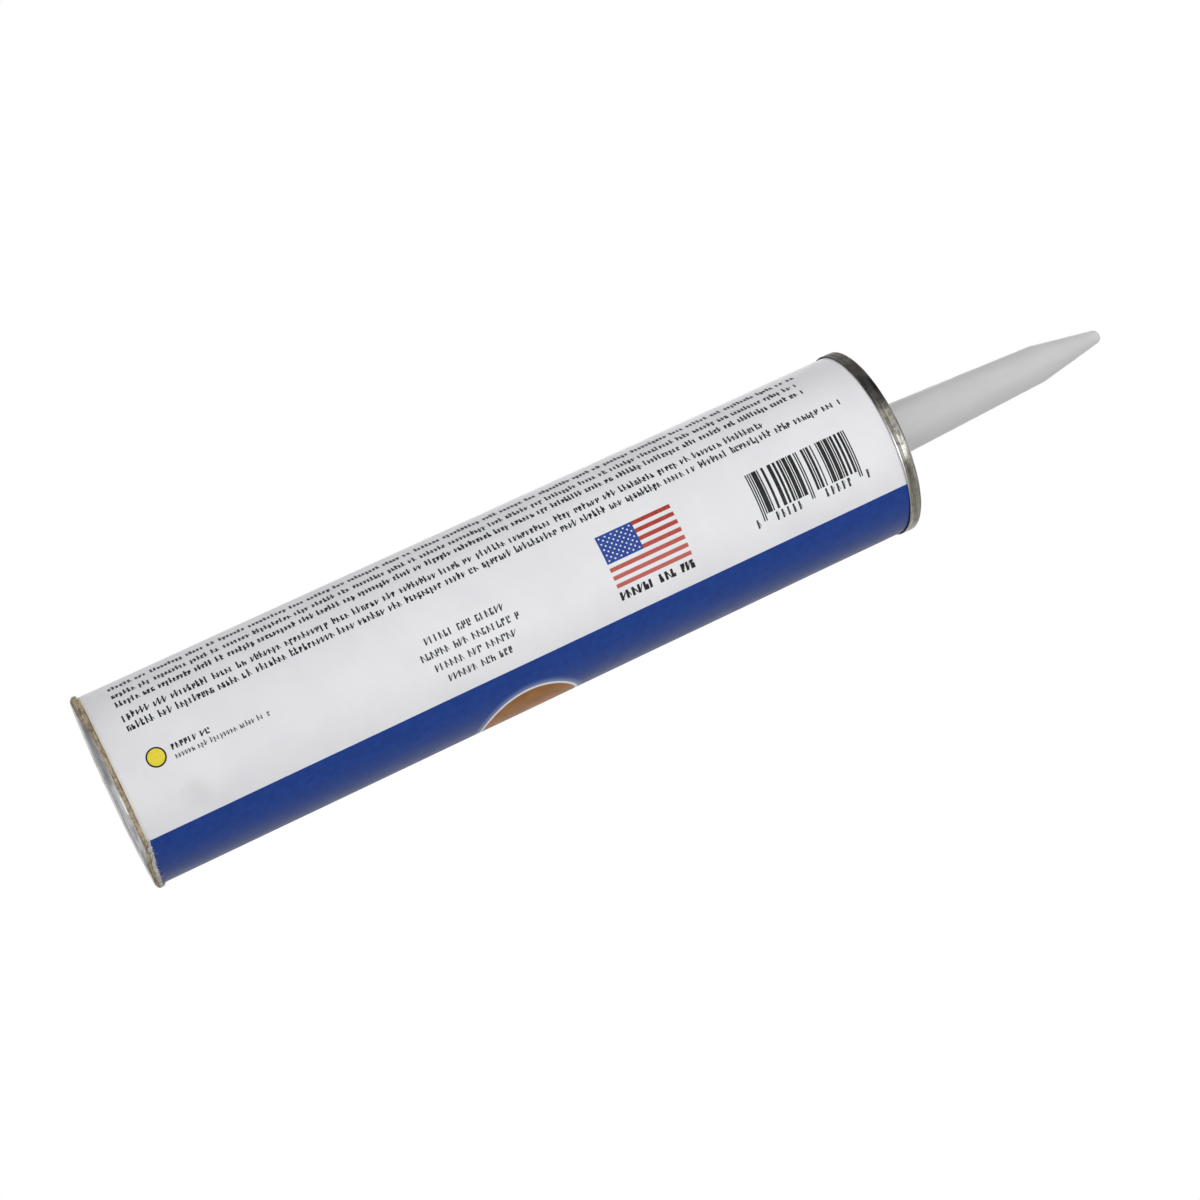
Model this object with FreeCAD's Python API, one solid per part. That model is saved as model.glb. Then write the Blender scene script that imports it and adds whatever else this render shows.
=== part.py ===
import FreeCAD, Part
import math
import os

# A caulk tube: a board cartridge with a foil lining, a paper label, a stamped tin
# front end, a soft tapered nozzle, a plunger and the sealant between them.
# Sizes are in millimetres. The tube stands on its rear rim, its axis is Z and the
# nozzle points up. Angles round the tube are in degrees from the -Y side, towards +X.

# Wall of the tube, from the bore outwards
BORE_RADIUS = 23.75
LINER = 0.10
BOARD = 1.00
PAPER = 0.15
INK = 0.10
INK_GAP = 0.02
SPOT_SHEET = 1.1

# Length from the rear rim to the lip of the front ring
TUBE_LENGTH = 215.9

# Rear rim, rolled outwards, with foil below and the raw edge of the board above
RIM_REACH = 0.80
RIM_ROUND = 0.80
FOIL_WRAP = 1.30
RAW_EDGE = 1.35
LABEL_MARGIN = 0.10

# Front end, stamped from tinplate and crimped over the tube
TIN = 0.25
RING_WIDTH = 3.40
RING_GAP = 0.23
RING_GROOVE = 0.10
RING_ROLL = 0.35
RING_EDGE_ROUND = 0.22
GROOVE_WIDTH = 1.00
LIP_ROUND = 0.70
LABEL_TUCK = 0.90
PANEL_DEPTH = 3.50
BOSS_BASE_RADIUS = 14.0
BOSS_RADIUS = 10.5
BOSS_SEAT = 3.0
BOSS_HEIGHT = 5.5
BOSS_ROUND = 0.60

# Nozzle, held by its flange under the top of the boss
NOZZLE_ROOT_RADIUS = 7.25
NOZZLE_BREAK_RADIUS = 5.15
NOZZLE_TIP_RADIUS = 1.45
NOZZLE_WALL = 1.10
NOZZLE_TIP_ROUND = 1.70
NOZZLE_TAPER_LENGTH = 49.3
NOZZLE_POINT_LENGTH = 19.6
NOZZLE_TIP_WALL = 3.60
NOZZLE_GAP = 0.15
FLANGE_GAP = 0.05
FLANGE = 1.40
SEAL = 0.10

# Plunger, a cup with a sealing lip at each end, open to the rear
PLUNGER_START = 24.0
PLUNGER_LENGTH = 16.0
PLUNGER_GAP = 0.05
PLUNGER_RELIEF = 0.40
PLUNGER_LIP = 2.50
PLUNGER_WALL = 1.20
PLUNGER_WEB = 1.50
PLUNGER_CHAMFER = 0.80

# Overlap of the label's two ends, on the far side
SEAM_ANGLE = 196.0
SEAM_WIDTH = 8.0

# Blue panel and the round emblem on it, a little to the rear of the label's middle
PANEL_ANGLE = 84.0
PANEL_HALF_ANGLE = 50.6
EMBLEM_OFFSET = -5.6
EMBLEM_RADIUS = 13.8
EMBLEM_EDGE = 1.5

# Flag: thirteen stripes along the tube, the canton over seven of them, behind the barcode
FLAG_GAP = 20.6
FLAG_LENGTH = 20.9
FLAG_ANGLE = -0.45
FLAG_WIDTH = 13.9
FLAG_STRIPES = 13
CANTON_STRIPES = 7
CANTON_LENGTH = 10.1
STAR_ROWS = 9
STAR_COLUMNS = 11
STAR_SIZE = 0.36
FLAG_ROW_GAP = 1.5
FLAG_ROW_HEIGHT = 1.6

# Barcode: bars across the tube with three longer pairs, and a row of marks under it
BAR_MARGIN = 11.6
BAR_LENGTH = 11.1
BAR_ANGLE = 0.0
BAR_MODULE = 0.30
BAR_MODULES = 95
GUARD_EXTRA = 1.6
GUARD_ZONE = 4
MARK_HEIGHT = 1.5
MARK_WIDTH = 0.95
MARK_PITCH = 1.6
MARKS_BESIDE_MIDDLE = 2
# These only give the bars an uneven rhythm and encode nothing
RHYTHM_SQUARE = 11
RHYTHM_STEP = 29
RHYTHM_TURN = 97
RHYTHM_BEAT = 7
RHYTHM_DARK = 4

# Yellow spot with a dark edge, near the rear rim, and two short rows beside it
SPOT_MARGIN = 10.05
SPOT_ANGLE = -8.2
SPOT_RADIUS = 2.1
SPOT_EDGE = 0.4
SPOT_ROW_GAP = 1.7
SPOT_WORD_LENGTH = 10.1
SPOT_WORD_ANGLE = -9.7
SPOT_WORD_HEIGHT = 1.1
SPOT_LINE_LENGTH = 24.5
SPOT_LINE_ANGLE = -4.0
SPOT_LINE_HEIGHT = 0.85

# Long rows of print: angle, bare length at the front, and height of the small letters
LONG_ROW_MARGIN = 6.8
LONG_ROWS = (
    (-68.0, 12.5, 1.05),
    (-57.6, 14.8, 1.05),
    (-48.8, 14.6, 1.05),
    (-37.8, 28.5, 1.20),
    (-30.0, 8.6, 1.20),
)

# Block of four short rows behind the flag, each centred on the one before
BLOCK_GAP = 25.2
BLOCK_ROWS = (21.6, 26.7, 22.0, 17.6)
BLOCK_ANGLE = -3.3
BLOCK_PITCH = 3.55
BLOCK_HEIGHT = 1.3

# Words of a row, in letters, and the letter and the space as shares of its height
WORD_LETTERS = (8, 4, 11, 6, 3, 9, 13, 5)
LETTER_PITCH = 0.75
WORD_SPACE = 0.80

# Sizes that follow from those above
LINER_OUTSIDE = BORE_RADIUS + LINER
BOARD_OUTSIDE = LINER_OUTSIDE + BOARD
LABEL_OUTSIDE = BOARD_OUTSIDE + PAPER
RIM_RADIUS = LABEL_OUTSIDE + RIM_REACH
RAW_EDGE_TOP = FOIL_WRAP + RAW_EDGE
LABEL_START = RAW_EDGE_TOP + LABEL_MARGIN
RING_START = TUBE_LENGTH - RING_WIDTH
RING_INSIDE = LABEL_OUTSIDE + RING_GAP
RING_RADIUS = RING_INSIDE + TIN
LABEL_END = RING_START + LABEL_TUCK
BOARD_END = TUBE_LENGTH - LIP_ROUND
PANEL_TOP = TUBE_LENGTH - PANEL_DEPTH
PANEL_UNDER = PANEL_TOP - TIN
BOSS_TOP = PANEL_TOP + BOSS_HEIGHT
BOSS_INSIDE = BOSS_RADIUS - TIN
FLANGE_TOP = BOSS_TOP - TIN
FLANGE_UNDER = FLANGE_TOP - FLANGE
SEAL_UNDER = FLANGE_UNDER - SEAL
FLANGE_RADIUS = BOSS_INSIDE - FLANGE_GAP
PLUNGER_FRONT = PLUNGER_START + PLUNGER_LENGTH
INK_INSIDE = LABEL_OUTSIDE + INK_GAP
INK_OUTSIDE = INK_INSIDE + INK
TOP_INK_INSIDE = INK_OUTSIDE + INK_GAP
EMBLEM_HEIGHT = (LABEL_START + LABEL_END) / 2 + EMBLEM_OFFSET
SPOT_HEIGHT = LABEL_START + SPOT_MARGIN
SPOT_ROW_START = SPOT_HEIGHT + SPOT_RADIUS + SPOT_EDGE + SPOT_ROW_GAP
BAR_START = LABEL_END - BAR_MARGIN - BAR_MODULES * BAR_MODULE
FLAG_START = BAR_START - FLAG_GAP - FLAG_LENGTH
BLOCK_CENTRE = FLAG_START - BLOCK_GAP - max(BLOCK_ROWS) / 2


def outline(corners):
    """Closed wire in the XZ plane from (radius, height, rounding) corners."""
    count = len(corners)
    starts = []
    ends = []
    middles = []
    for index in range(count):
        before = FreeCAD.Vector(corners[index - 1][0], 0, corners[index - 1][1])
        here = FreeCAD.Vector(corners[index][0], 0, corners[index][1])
        after = FreeCAD.Vector(corners[(index + 1) % count][0], 0, corners[(index + 1) % count][1])
        rounding = corners[index][2] if len(corners[index]) > 2 else 0
        to_before = (before - here).normalize()
        to_after = (after - here).normalize()
        half = to_before.getAngle(to_after) / 2
        if rounding == 0:
            starts.append(here)
            ends.append(here)
            middles.append(None)
            continue
        reach = rounding / math.tan(half)
        inwards = (to_before + to_after).normalize()
        starts.append(here + to_before * reach)
        ends.append(here + to_after * reach)
        middles.append(here + inwards * (rounding / math.sin(half) - rounding))
    edges = []
    for index in range(count):
        if middles[index] is not None:
            edges.append(Part.Arc(starts[index], middles[index], ends[index]).toShape())
        start = ends[index]
        end = starts[(index + 1) % count]
        if start.distanceToPoint(end) > 1e-6:
            edges.append(Part.LineSegment(start, end).toShape())
    return Part.Wire(edges)


def turned(corners):
    """Solid of revolution about the tube's axis."""
    face = Part.Face(outline(corners))
    return face.revolve(FreeCAD.Vector(0, 0, 0), FreeCAD.Vector(0, 0, 1), 360)


def arc_degrees(length, radius):
    return math.degrees(length / radius)


def plate(start, end, angle_from, angle_to, inside, outside):
    """Thin curved plate on the tube's side."""
    corners = [
        FreeCAD.Vector(inside, 0, start),
        FreeCAD.Vector(outside, 0, start),
        FreeCAD.Vector(outside, 0, end),
        FreeCAD.Vector(inside, 0, end),
    ]
    face = Part.Face(Part.makePolygon(corners + corners[:1]))
    axis = FreeCAD.Vector(0, 0, 1)
    solid = face.revolve(FreeCAD.Vector(0, 0, 0), axis, angle_to - angle_from)
    solid.rotate(FreeCAD.Vector(0, 0, 0), axis, angle_from - 90)
    return solid


def mark(start, end, angle, height, inside=INK_INSIDE):
    """Printed mark of a given height round the tube, centred on an angle."""
    half = arc_degrees(height, inside) / 2
    return plate(start, end, angle - half, angle + half, inside, inside + INK)


def disc(height, angle, radius, inside, hole=0):
    """Round printed spot that follows the tube's side, with an optional round hole."""
    wide = radius * SPOT_SHEET
    reach = math.degrees(math.asin(wide / inside))
    sheet = plate(height - wide, height + wide, angle - reach, angle + reach, inside, inside + INK)
    around = math.radians(angle - 90)
    outwards = FreeCAD.Vector(math.cos(around), math.sin(around), 0)
    centre = FreeCAD.Vector(0, 0, height)
    spot = sheet.common(Part.makeCylinder(radius, 2 * inside, centre, outwards))
    if hole:
        spot = spot.cut(Part.makeCylinder(hole, 2 * inside, centre, outwards))
    return spot.Solids[0]


def tube_body():
    inner_round = RIM_ROUND - LINER
    return turned([
        (LINER_OUTSIDE, LINER, inner_round),
        (RIM_RADIUS - LINER, LINER, inner_round),
        (RIM_RADIUS - LINER, FOIL_WRAP),
        (RIM_RADIUS, FOIL_WRAP),
        (RIM_RADIUS, RAW_EDGE_TOP, RIM_REACH),
        (BOARD_OUTSIDE, RAW_EDGE_TOP),
        (BOARD_OUTSIDE, BOARD_END),
        (LINER_OUTSIDE, BOARD_END),
    ])


def foil_liner():
    inner_round = RIM_ROUND - LINER
    return turned([
        (BORE_RADIUS, 0, RIM_ROUND),
        (RIM_RADIUS, 0, RIM_ROUND),
        (RIM_RADIUS, FOIL_WRAP),
        (RIM_RADIUS - LINER, FOIL_WRAP),
        (RIM_RADIUS - LINER, LINER, inner_round),
        (LINER_OUTSIDE, LINER, inner_round),
        (LINER_OUTSIDE, BOARD_END),
        (BORE_RADIUS, BOARD_END),
    ])


def label():
    sheet = turned([
        (BOARD_OUTSIDE, LABEL_START),
        (LABEL_OUTSIDE, LABEL_START),
        (LABEL_OUTSIDE, LABEL_END),
        (BOARD_OUTSIDE, LABEL_END),
    ])
    half = arc_degrees(SEAM_WIDTH, LABEL_OUTSIDE) / 2
    overlap = plate(
        LABEL_START, LABEL_END, SEAM_ANGLE - half, SEAM_ANGLE + half, LABEL_OUTSIDE, LABEL_OUTSIDE + PAPER)
    return sheet.fuse(overlap).removeSplitter()


def front_end():
    lip_inside = LIP_ROUND - TIN
    boss_inside_round = BOSS_ROUND - TIN
    seat_bottom = BOSS_TOP - BOSS_SEAT
    hole = NOZZLE_ROOT_RADIUS + NOZZLE_GAP
    groove_start = RING_START + RING_ROLL
    return turned([
        (RING_INSIDE, RING_START),
        (RING_RADIUS, RING_START, RING_EDGE_ROUND),
        (RING_RADIUS, groove_start),
        (RING_RADIUS - RING_GROOVE, groove_start + GROOVE_WIDTH / 2, GROOVE_WIDTH),
        (RING_RADIUS, groove_start + GROOVE_WIDTH),
        (RING_RADIUS, TUBE_LENGTH, LIP_ROUND),
        (BORE_RADIUS - TIN, TUBE_LENGTH, LIP_ROUND),
        (BORE_RADIUS - TIN, PANEL_TOP, lip_inside),
        (BOSS_BASE_RADIUS, PANEL_TOP, BOSS_ROUND),
        (BOSS_RADIUS, seat_bottom, BOSS_ROUND),
        (BOSS_RADIUS, BOSS_TOP, BOSS_ROUND),
        (hole, BOSS_TOP),
        (hole, FLANGE_TOP),
        (BOSS_INSIDE, FLANGE_TOP, boss_inside_round),
        (BOSS_INSIDE, seat_bottom, BOSS_ROUND),
        (BOSS_BASE_RADIUS - TIN, PANEL_UNDER, BOSS_ROUND),
        (BORE_RADIUS, PANEL_UNDER, LIP_ROUND),
        (BORE_RADIUS, TUBE_LENGTH - TIN, lip_inside),
        (RING_INSIDE, TUBE_LENGTH - TIN, lip_inside),
    ])


def nozzle():
    break_height = FLANGE_TOP + NOZZLE_TAPER_LENGTH
    tip = break_height + NOZZLE_POINT_LENGTH
    corner = BOSS_ROUND
    return turned([
        (NOZZLE_ROOT_RADIUS - NOZZLE_WALL, FLANGE_UNDER),
        (FLANGE_RADIUS, FLANGE_UNDER),
        (FLANGE_RADIUS, FLANGE_TOP, corner),
        (NOZZLE_ROOT_RADIUS, FLANGE_TOP),
        (NOZZLE_BREAK_RADIUS, break_height),
        (NOZZLE_TIP_RADIUS, tip, NOZZLE_TIP_ROUND),
        (0, tip),
        (0, tip - NOZZLE_TIP_WALL),
        (NOZZLE_TIP_RADIUS - NOZZLE_WALL / 2, tip - NOZZLE_TIP_WALL),
        (NOZZLE_BREAK_RADIUS - NOZZLE_WALL, break_height - NOZZLE_WALL),
    ])


def nozzle_seal():
    return Part.makeCylinder(FLANGE_RADIUS, SEAL, FreeCAD.Vector(0, 0, SEAL_UNDER))


def plunger():
    lip = BORE_RADIUS - PLUNGER_GAP
    waist = lip - PLUNGER_RELIEF
    bore = waist - PLUNGER_WALL
    web = PLUNGER_FRONT - PLUNGER_WEB
    return turned([
        (bore, PLUNGER_START),
        (lip, PLUNGER_START),
        (lip, PLUNGER_START + PLUNGER_LIP),
        (waist, PLUNGER_START + PLUNGER_LIP + PLUNGER_RELIEF),
        (waist, PLUNGER_FRONT - PLUNGER_LIP - PLUNGER_CHAMFER - PLUNGER_RELIEF),
        (lip, PLUNGER_FRONT - PLUNGER_LIP - PLUNGER_CHAMFER),
        (lip, PLUNGER_FRONT - PLUNGER_CHAMFER),
        (lip - PLUNGER_CHAMFER, PLUNGER_FRONT),
        (0, PLUNGER_FRONT),
        (0, web),
        (bore, web, PLUNGER_WALL),
    ])


def sealant():
    seat_bottom = BOSS_TOP - BOSS_SEAT
    return turned([
        (0, PLUNGER_FRONT),
        (BORE_RADIUS, PLUNGER_FRONT),
        (BORE_RADIUS, PANEL_UNDER),
        (BOSS_BASE_RADIUS - TIN, PANEL_UNDER, BOSS_ROUND),
        (BOSS_INSIDE, seat_bottom, BOSS_ROUND),
        (BOSS_INSIDE, SEAL_UNDER),
        (0, SEAL_UNDER),
    ])


def blue_panel():
    return plate(
        LABEL_START,
        LABEL_END,
        PANEL_ANGLE - PANEL_HALF_ANGLE,
        PANEL_ANGLE + PANEL_HALF_ANGLE,
        INK_INSIDE,
        INK_OUTSIDE,
    )


def print_row(start, end, angle, height):
    """Words of one row of print, as plain bars."""
    words = []
    place = start
    index = 0
    while place < end:
        letters = WORD_LETTERS[index % len(WORD_LETTERS)]
        stop = min(place + letters * LETTER_PITCH * height, end)
        words.append(mark(place, stop, angle, height))
        place = stop + WORD_SPACE * height
        index += 1
    return words


def label_text():
    words = []
    for angle, margin, height in LONG_ROWS:
        words.extend(print_row(LABEL_START + LONG_ROW_MARGIN, LABEL_END - margin, angle, height))
    word_end = SPOT_ROW_START + SPOT_WORD_LENGTH
    words.extend(print_row(SPOT_ROW_START, word_end, SPOT_WORD_ANGLE, SPOT_WORD_HEIGHT))
    line_end = SPOT_ROW_START + SPOT_LINE_LENGTH
    words.extend(print_row(SPOT_ROW_START, line_end, SPOT_LINE_ANGLE, SPOT_LINE_HEIGHT))
    pitch = arc_degrees(BLOCK_PITCH, LABEL_OUTSIDE)
    for index, length in enumerate(BLOCK_ROWS):
        start = BLOCK_CENTRE - length / 2
        words.extend(print_row(start, start + length, BLOCK_ANGLE + index * pitch, BLOCK_HEIGHT))
    flag_end = FLAG_START + FLAG_LENGTH
    under_flag = flag_edge() + arc_degrees(FLAG_WIDTH + FLAG_ROW_GAP + FLAG_ROW_HEIGHT / 2, LABEL_OUTSIDE)
    words.extend(print_row(FLAG_START, flag_end, under_flag, FLAG_ROW_HEIGHT))
    return Part.makeCompound(words)


def is_guard(module):
    """The paired long bars at both ends and in the middle."""
    middle = BAR_MODULES // 2
    return module in (0, 2, middle - 1, middle + 1, BAR_MODULES - 3, BAR_MODULES - 1)


def is_bar(module):
    """An uneven rhythm of bars up to four modules wide, clear of the guards."""
    from_end = min(module, BAR_MODULES - 1 - module)
    if from_end < GUARD_ZONE or abs(module - BAR_MODULES // 2) < GUARD_ZONE:
        return False
    beat = module * (RHYTHM_SQUARE * module + RHYTHM_STEP) % RHYTHM_TURN
    return beat % RHYTHM_BEAT < RHYTHM_DARK


def barcode():
    bars = []
    half = arc_degrees(BAR_LENGTH, LABEL_OUTSIDE) / 2
    extra = arc_degrees(GUARD_EXTRA, LABEL_OUTSIDE)
    module = 0
    while module < BAR_MODULES:
        width = 1
        if is_guard(module):
            lower = half + extra
        elif is_bar(module):
            lower = half
            while is_bar(module + width):
                width += 1
        else:
            module += 1
            continue
        start = BAR_START + module * BAR_MODULE
        end = start + width * BAR_MODULE
        bars.append(plate(start, end, BAR_ANGLE - half, BAR_ANGLE + lower, INK_INSIDE, INK_OUTSIDE))
        module += width
    angle = BAR_ANGLE + half + extra
    code_length = BAR_MODULES * BAR_MODULE
    quarter = code_length / 4
    for group in (1, 3):
        for step in range(-MARKS_BESIDE_MIDDLE, MARKS_BESIDE_MIDDLE + 1):
            place = BAR_START + quarter * group + step * MARK_PITCH
            bars.append(mark(place - MARK_WIDTH / 2, place + MARK_WIDTH / 2, angle, MARK_HEIGHT))
    for place in (BAR_START - MARK_PITCH, BAR_START + code_length + MARK_PITCH):
        bars.append(mark(place - MARK_WIDTH / 2, place + MARK_WIDTH / 2, angle, MARK_HEIGHT))
    return Part.makeCompound(bars)


def flag_edge():
    """Angle of the flag's upper edge."""
    return FLAG_ANGLE - arc_degrees(FLAG_WIDTH, LABEL_OUTSIDE) / 2


def stripe_angle():
    return arc_degrees(FLAG_WIDTH, LABEL_OUTSIDE) / FLAG_STRIPES


def flag_stripes():
    stripes = []
    for index in range(0, FLAG_STRIPES, 2):
        start = FLAG_START
        if index < CANTON_STRIPES:
            start = FLAG_START + CANTON_LENGTH
        angle = flag_edge() + index * stripe_angle()
        end = FLAG_START + FLAG_LENGTH
        stripes.append(plate(start, end, angle, angle + stripe_angle(), INK_INSIDE, INK_OUTSIDE))
    return Part.makeCompound(stripes)


def flag_canton():
    top = flag_edge()
    end = FLAG_START + CANTON_LENGTH
    return plate(FLAG_START, end, top, top + CANTON_STRIPES * stripe_angle(), INK_INSIDE, INK_OUTSIDE)


def flag_stars():
    """Small pips in staggered rows, on top of the canton."""
    stars = []
    row_angle = CANTON_STRIPES * stripe_angle() / (STAR_ROWS + 1)
    column = CANTON_LENGTH / (STAR_COLUMNS + 1)
    for row in range(STAR_ROWS):
        for place in range(row % 2, STAR_COLUMNS, 2):
            centre = FLAG_START + (place + 1) * column
            angle = flag_edge() + (row + 1) * row_angle
            stars.append(mark(centre - STAR_SIZE / 2, centre + STAR_SIZE / 2, angle, STAR_SIZE, TOP_INK_INSIDE))
    return Part.makeCompound(stars)


def emblem_disc():
    return disc(EMBLEM_HEIGHT, PANEL_ANGLE, EMBLEM_RADIUS, TOP_INK_INSIDE)


def emblem_ring():
    return disc(EMBLEM_HEIGHT, PANEL_ANGLE, EMBLEM_RADIUS + EMBLEM_EDGE, TOP_INK_INSIDE, EMBLEM_RADIUS)


def yellow_spot():
    return disc(SPOT_HEIGHT, SPOT_ANGLE, SPOT_RADIUS, INK_INSIDE)


def spot_edge():
    return disc(SPOT_HEIGHT, SPOT_ANGLE, SPOT_RADIUS + SPOT_EDGE, INK_INSIDE, SPOT_RADIUS)


PIECES = (
    tube_body,
    foil_liner,
    label,
    blue_panel,
    label_text,
    barcode,
    flag_stripes,
    flag_canton,
    flag_stars,
    emblem_disc,
    emblem_ring,
    yellow_spot,
    spot_edge,
    front_end,
    nozzle,
    nozzle_seal,
    plunger,
    sealant,
)

os.makedirs("parts", exist_ok=True)
for piece in PIECES:
    shape = piece()
    shape.exportStep("parts/" + piece.__name__ + ".step")
    solids = shape.Solids
    print(piece.__name__, len(solids), shape.isValid(), round(sum(solid.Volume for solid in solids), 2))
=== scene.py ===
import math
import random

import bmesh
import bpy
from mathutils import Matrix, Vector, noise


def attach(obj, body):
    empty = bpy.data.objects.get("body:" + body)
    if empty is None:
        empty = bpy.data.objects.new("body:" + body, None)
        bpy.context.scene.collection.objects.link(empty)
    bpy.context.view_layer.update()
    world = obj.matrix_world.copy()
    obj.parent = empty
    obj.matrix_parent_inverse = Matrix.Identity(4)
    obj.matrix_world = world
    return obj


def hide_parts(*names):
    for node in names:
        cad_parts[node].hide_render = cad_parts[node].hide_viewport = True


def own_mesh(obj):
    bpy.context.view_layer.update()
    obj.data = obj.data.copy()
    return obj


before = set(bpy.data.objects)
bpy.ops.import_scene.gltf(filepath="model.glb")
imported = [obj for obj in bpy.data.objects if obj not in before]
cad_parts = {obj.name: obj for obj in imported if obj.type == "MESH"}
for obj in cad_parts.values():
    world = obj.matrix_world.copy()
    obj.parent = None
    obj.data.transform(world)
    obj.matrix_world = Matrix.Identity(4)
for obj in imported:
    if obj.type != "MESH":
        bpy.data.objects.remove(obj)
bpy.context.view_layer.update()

# Lengths are in millimetres, and angles in degrees from the -Y side towards +X
MM = 0.001
LABEL_RADIUS = 25.0
BORE_RADIUS = 23.75
LINER_RADIUS = 23.85
BOARD_RADIUS = 24.85
BOARD_END = 215.2

# Round bead of the rolled rim, and the furthest that anything on the rim stands out
BEAD_RADIUS = 25.76
BEAD_HEIGHT = 1.52
BEAD_ROUND = 1.12
RIM_REACH = 25.77
ROLL_HEIGHT = 1.7
ROLL_LIFT = 0.42

# Sheet of the label, with its overlap on the far side
LABEL_START = 2.75
LABEL_END = 213.4
SHEET_FROM = -173.2
FLAP_FROM = 186.8
SHEET_TO = 205.2
SHEET_THICKNESS = 0.13
FLAP_RISE = 0.15
FLAP_RISE_ANGLE = 3.0

# Heights of torn paper and ink above the label, each from its underside to its top
TORN_PAPER = (0.002, 0.012)
INK = (0.018, 0.034)
TOP_INK = (0.042, 0.058)

# Rows of print, by the angle that each kind of row ends at or the height that it starts at
TOP_ROW_END = -61
UPPER_ROWS_END = -43
LOWER_ROWS_END = -25
SPOT_ROW_END = -8
BLOCK_START = 60
FLAG_ROW_START = 125

# Bars are at least this long round the label, and the figures beside them are shorter
SHORTEST_BAR = 3
FIGURE_GROWTH = 0.4

# Share by which bars are wider and stars larger than their plates
BAR_GROWTH = 1.12
STAR_GROWTH = 1.28

# Blue band and the round emblem on it
BAND_FROM = 33.4
BAND_TO = 134.6
EMBLEM_HEIGHT = 102.475
EMBLEM_ANGLE = 84.0
EMBLEM_RADIUS = 13.1
EMBLEM_EDGE = 0.7
GLOW_WIDTH = 3.0

# Yellow spot
SPOT_HEIGHT = 12.8
SPOT_ANGLE = -8.2
SPOT_RADIUS = 2.1
SPOT_EDGE = 0.4

# Torn strip under the band's rear edge
TORN_FROM = 31
TORN_SPAN = 90

# Heights of the front end: lip of the ring, panel, foot and top of the boss
TIN_THICKNESS = 0.25
LIP = 215.9
PANEL = 212.4
PANEL_UNDERSIDE = PANEL - TIN_THICKNESS
BOSS_FOOT = 214.9
BOSS = 217.9
BOSS_UNDERSIDE = BOSS - TIN_THICKNESS
RING_REACH = 25.7

# The nozzle's flange is held under the boss, with the seal below it
FLANGE = 216.25
FLANGE_RADIUS = 10.2
SEAL = 216.15

# Plunger, and the paste, which stands a hair clear of the pieces round it
PLUNGER_RADIUS = 23.70
PLUNGER_FACE = 40.0
PASTE_GAP = 0.02
PASTE_TOP = PANEL_UNDERSIDE - PASTE_GAP


def alone(obj):
    """Makes obj the only selected object, and the active one."""
    bpy.ops.object.select_all(action="DESELECT")
    obj.select_set(True)
    bpy.context.view_layer.objects.active = obj


def begun(primitive, **settings):
    """Adds a primitive with nothing else selected."""
    bpy.ops.object.select_all(action="DESELECT")
    primitive(**settings)
    return bpy.context.active_object


def settled(obj, name):
    """Puts the place and turn of a new piece into its mesh, and names it."""
    alone(obj)
    bpy.ops.object.transform_apply(location=True, rotation=True, scale=True)
    obj.name = name
    obj.data.name = name
    return obj


def smooth(obj, angle=35):
    alone(obj)
    bpy.ops.object.shade_smooth_by_angle(angle=math.radians(angle))
    return obj


def turned_out():
    """Turns every face of the piece in edit mode outwards, and leaves edit mode."""
    bpy.ops.mesh.select_all(action="SELECT")
    bpy.ops.mesh.normals_make_consistent(inside=False)
    bpy.ops.object.mode_set(mode="OBJECT")


def thickened(obj, thickness, offset):
    """Gives a sheet its thickness, in front of it where the offset is 1 and behind it where -1."""
    alone(obj)
    wall = obj.modifiers.new("wall", "SOLIDIFY")
    wall.thickness = thickness * MM
    wall.offset = offset
    bpy.ops.object.modifier_apply(modifier="wall")


def joined_mesh(name, points, faces):
    """A new object from points, in metres, and faces."""
    mesh = bpy.data.meshes.new(name)
    mesh.from_pydata(points, [], faces)
    obj = bpy.data.objects.new(name, mesh)
    bpy.context.scene.collection.objects.link(obj)
    return obj


def rounded(corners, fineness=6):
    """Points of an outline from (radius, height, rounding) corners, each rounding as an arc."""
    points = []
    count = len(corners)
    for index, corner in enumerate(corners):
        here = Vector(corner[:2])
        rounding = corner[2] if len(corner) > 2 else 0
        if rounding == 0:
            points.append(here)
            continue
        to_before = (Vector(corners[index - 1][:2]) - here).normalized()
        to_after = (Vector(corners[(index + 1) % count][:2]) - here).normalized()
        half = to_before.angle(to_after) / 2
        reach = rounding / math.tan(half)
        centre = here + (to_before + to_after).normalized() * (rounding / math.sin(half))
        first = here + to_before * reach - centre
        last = here + to_after * reach - centre
        turn = first.angle_signed(last)
        for step in range(fineness + 1):
            part = turn * step / fineness
            cosine, sine = math.cos(part), math.sin(part)
            points.append(centre + Vector((
                first.x * cosine + first.y * sine, first.y * cosine - first.x * sine)))
    return points


def stepped(points, longest):
    """The same outline with its long straight runs divided."""
    finer = []
    for here, after in zip(points, points[1:]):
        count = max(1, math.ceil((after - here).length / longest))
        finer.extend(here.lerp(after, step / count) for step in range(count))
    return finer + points[-1:]


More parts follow.
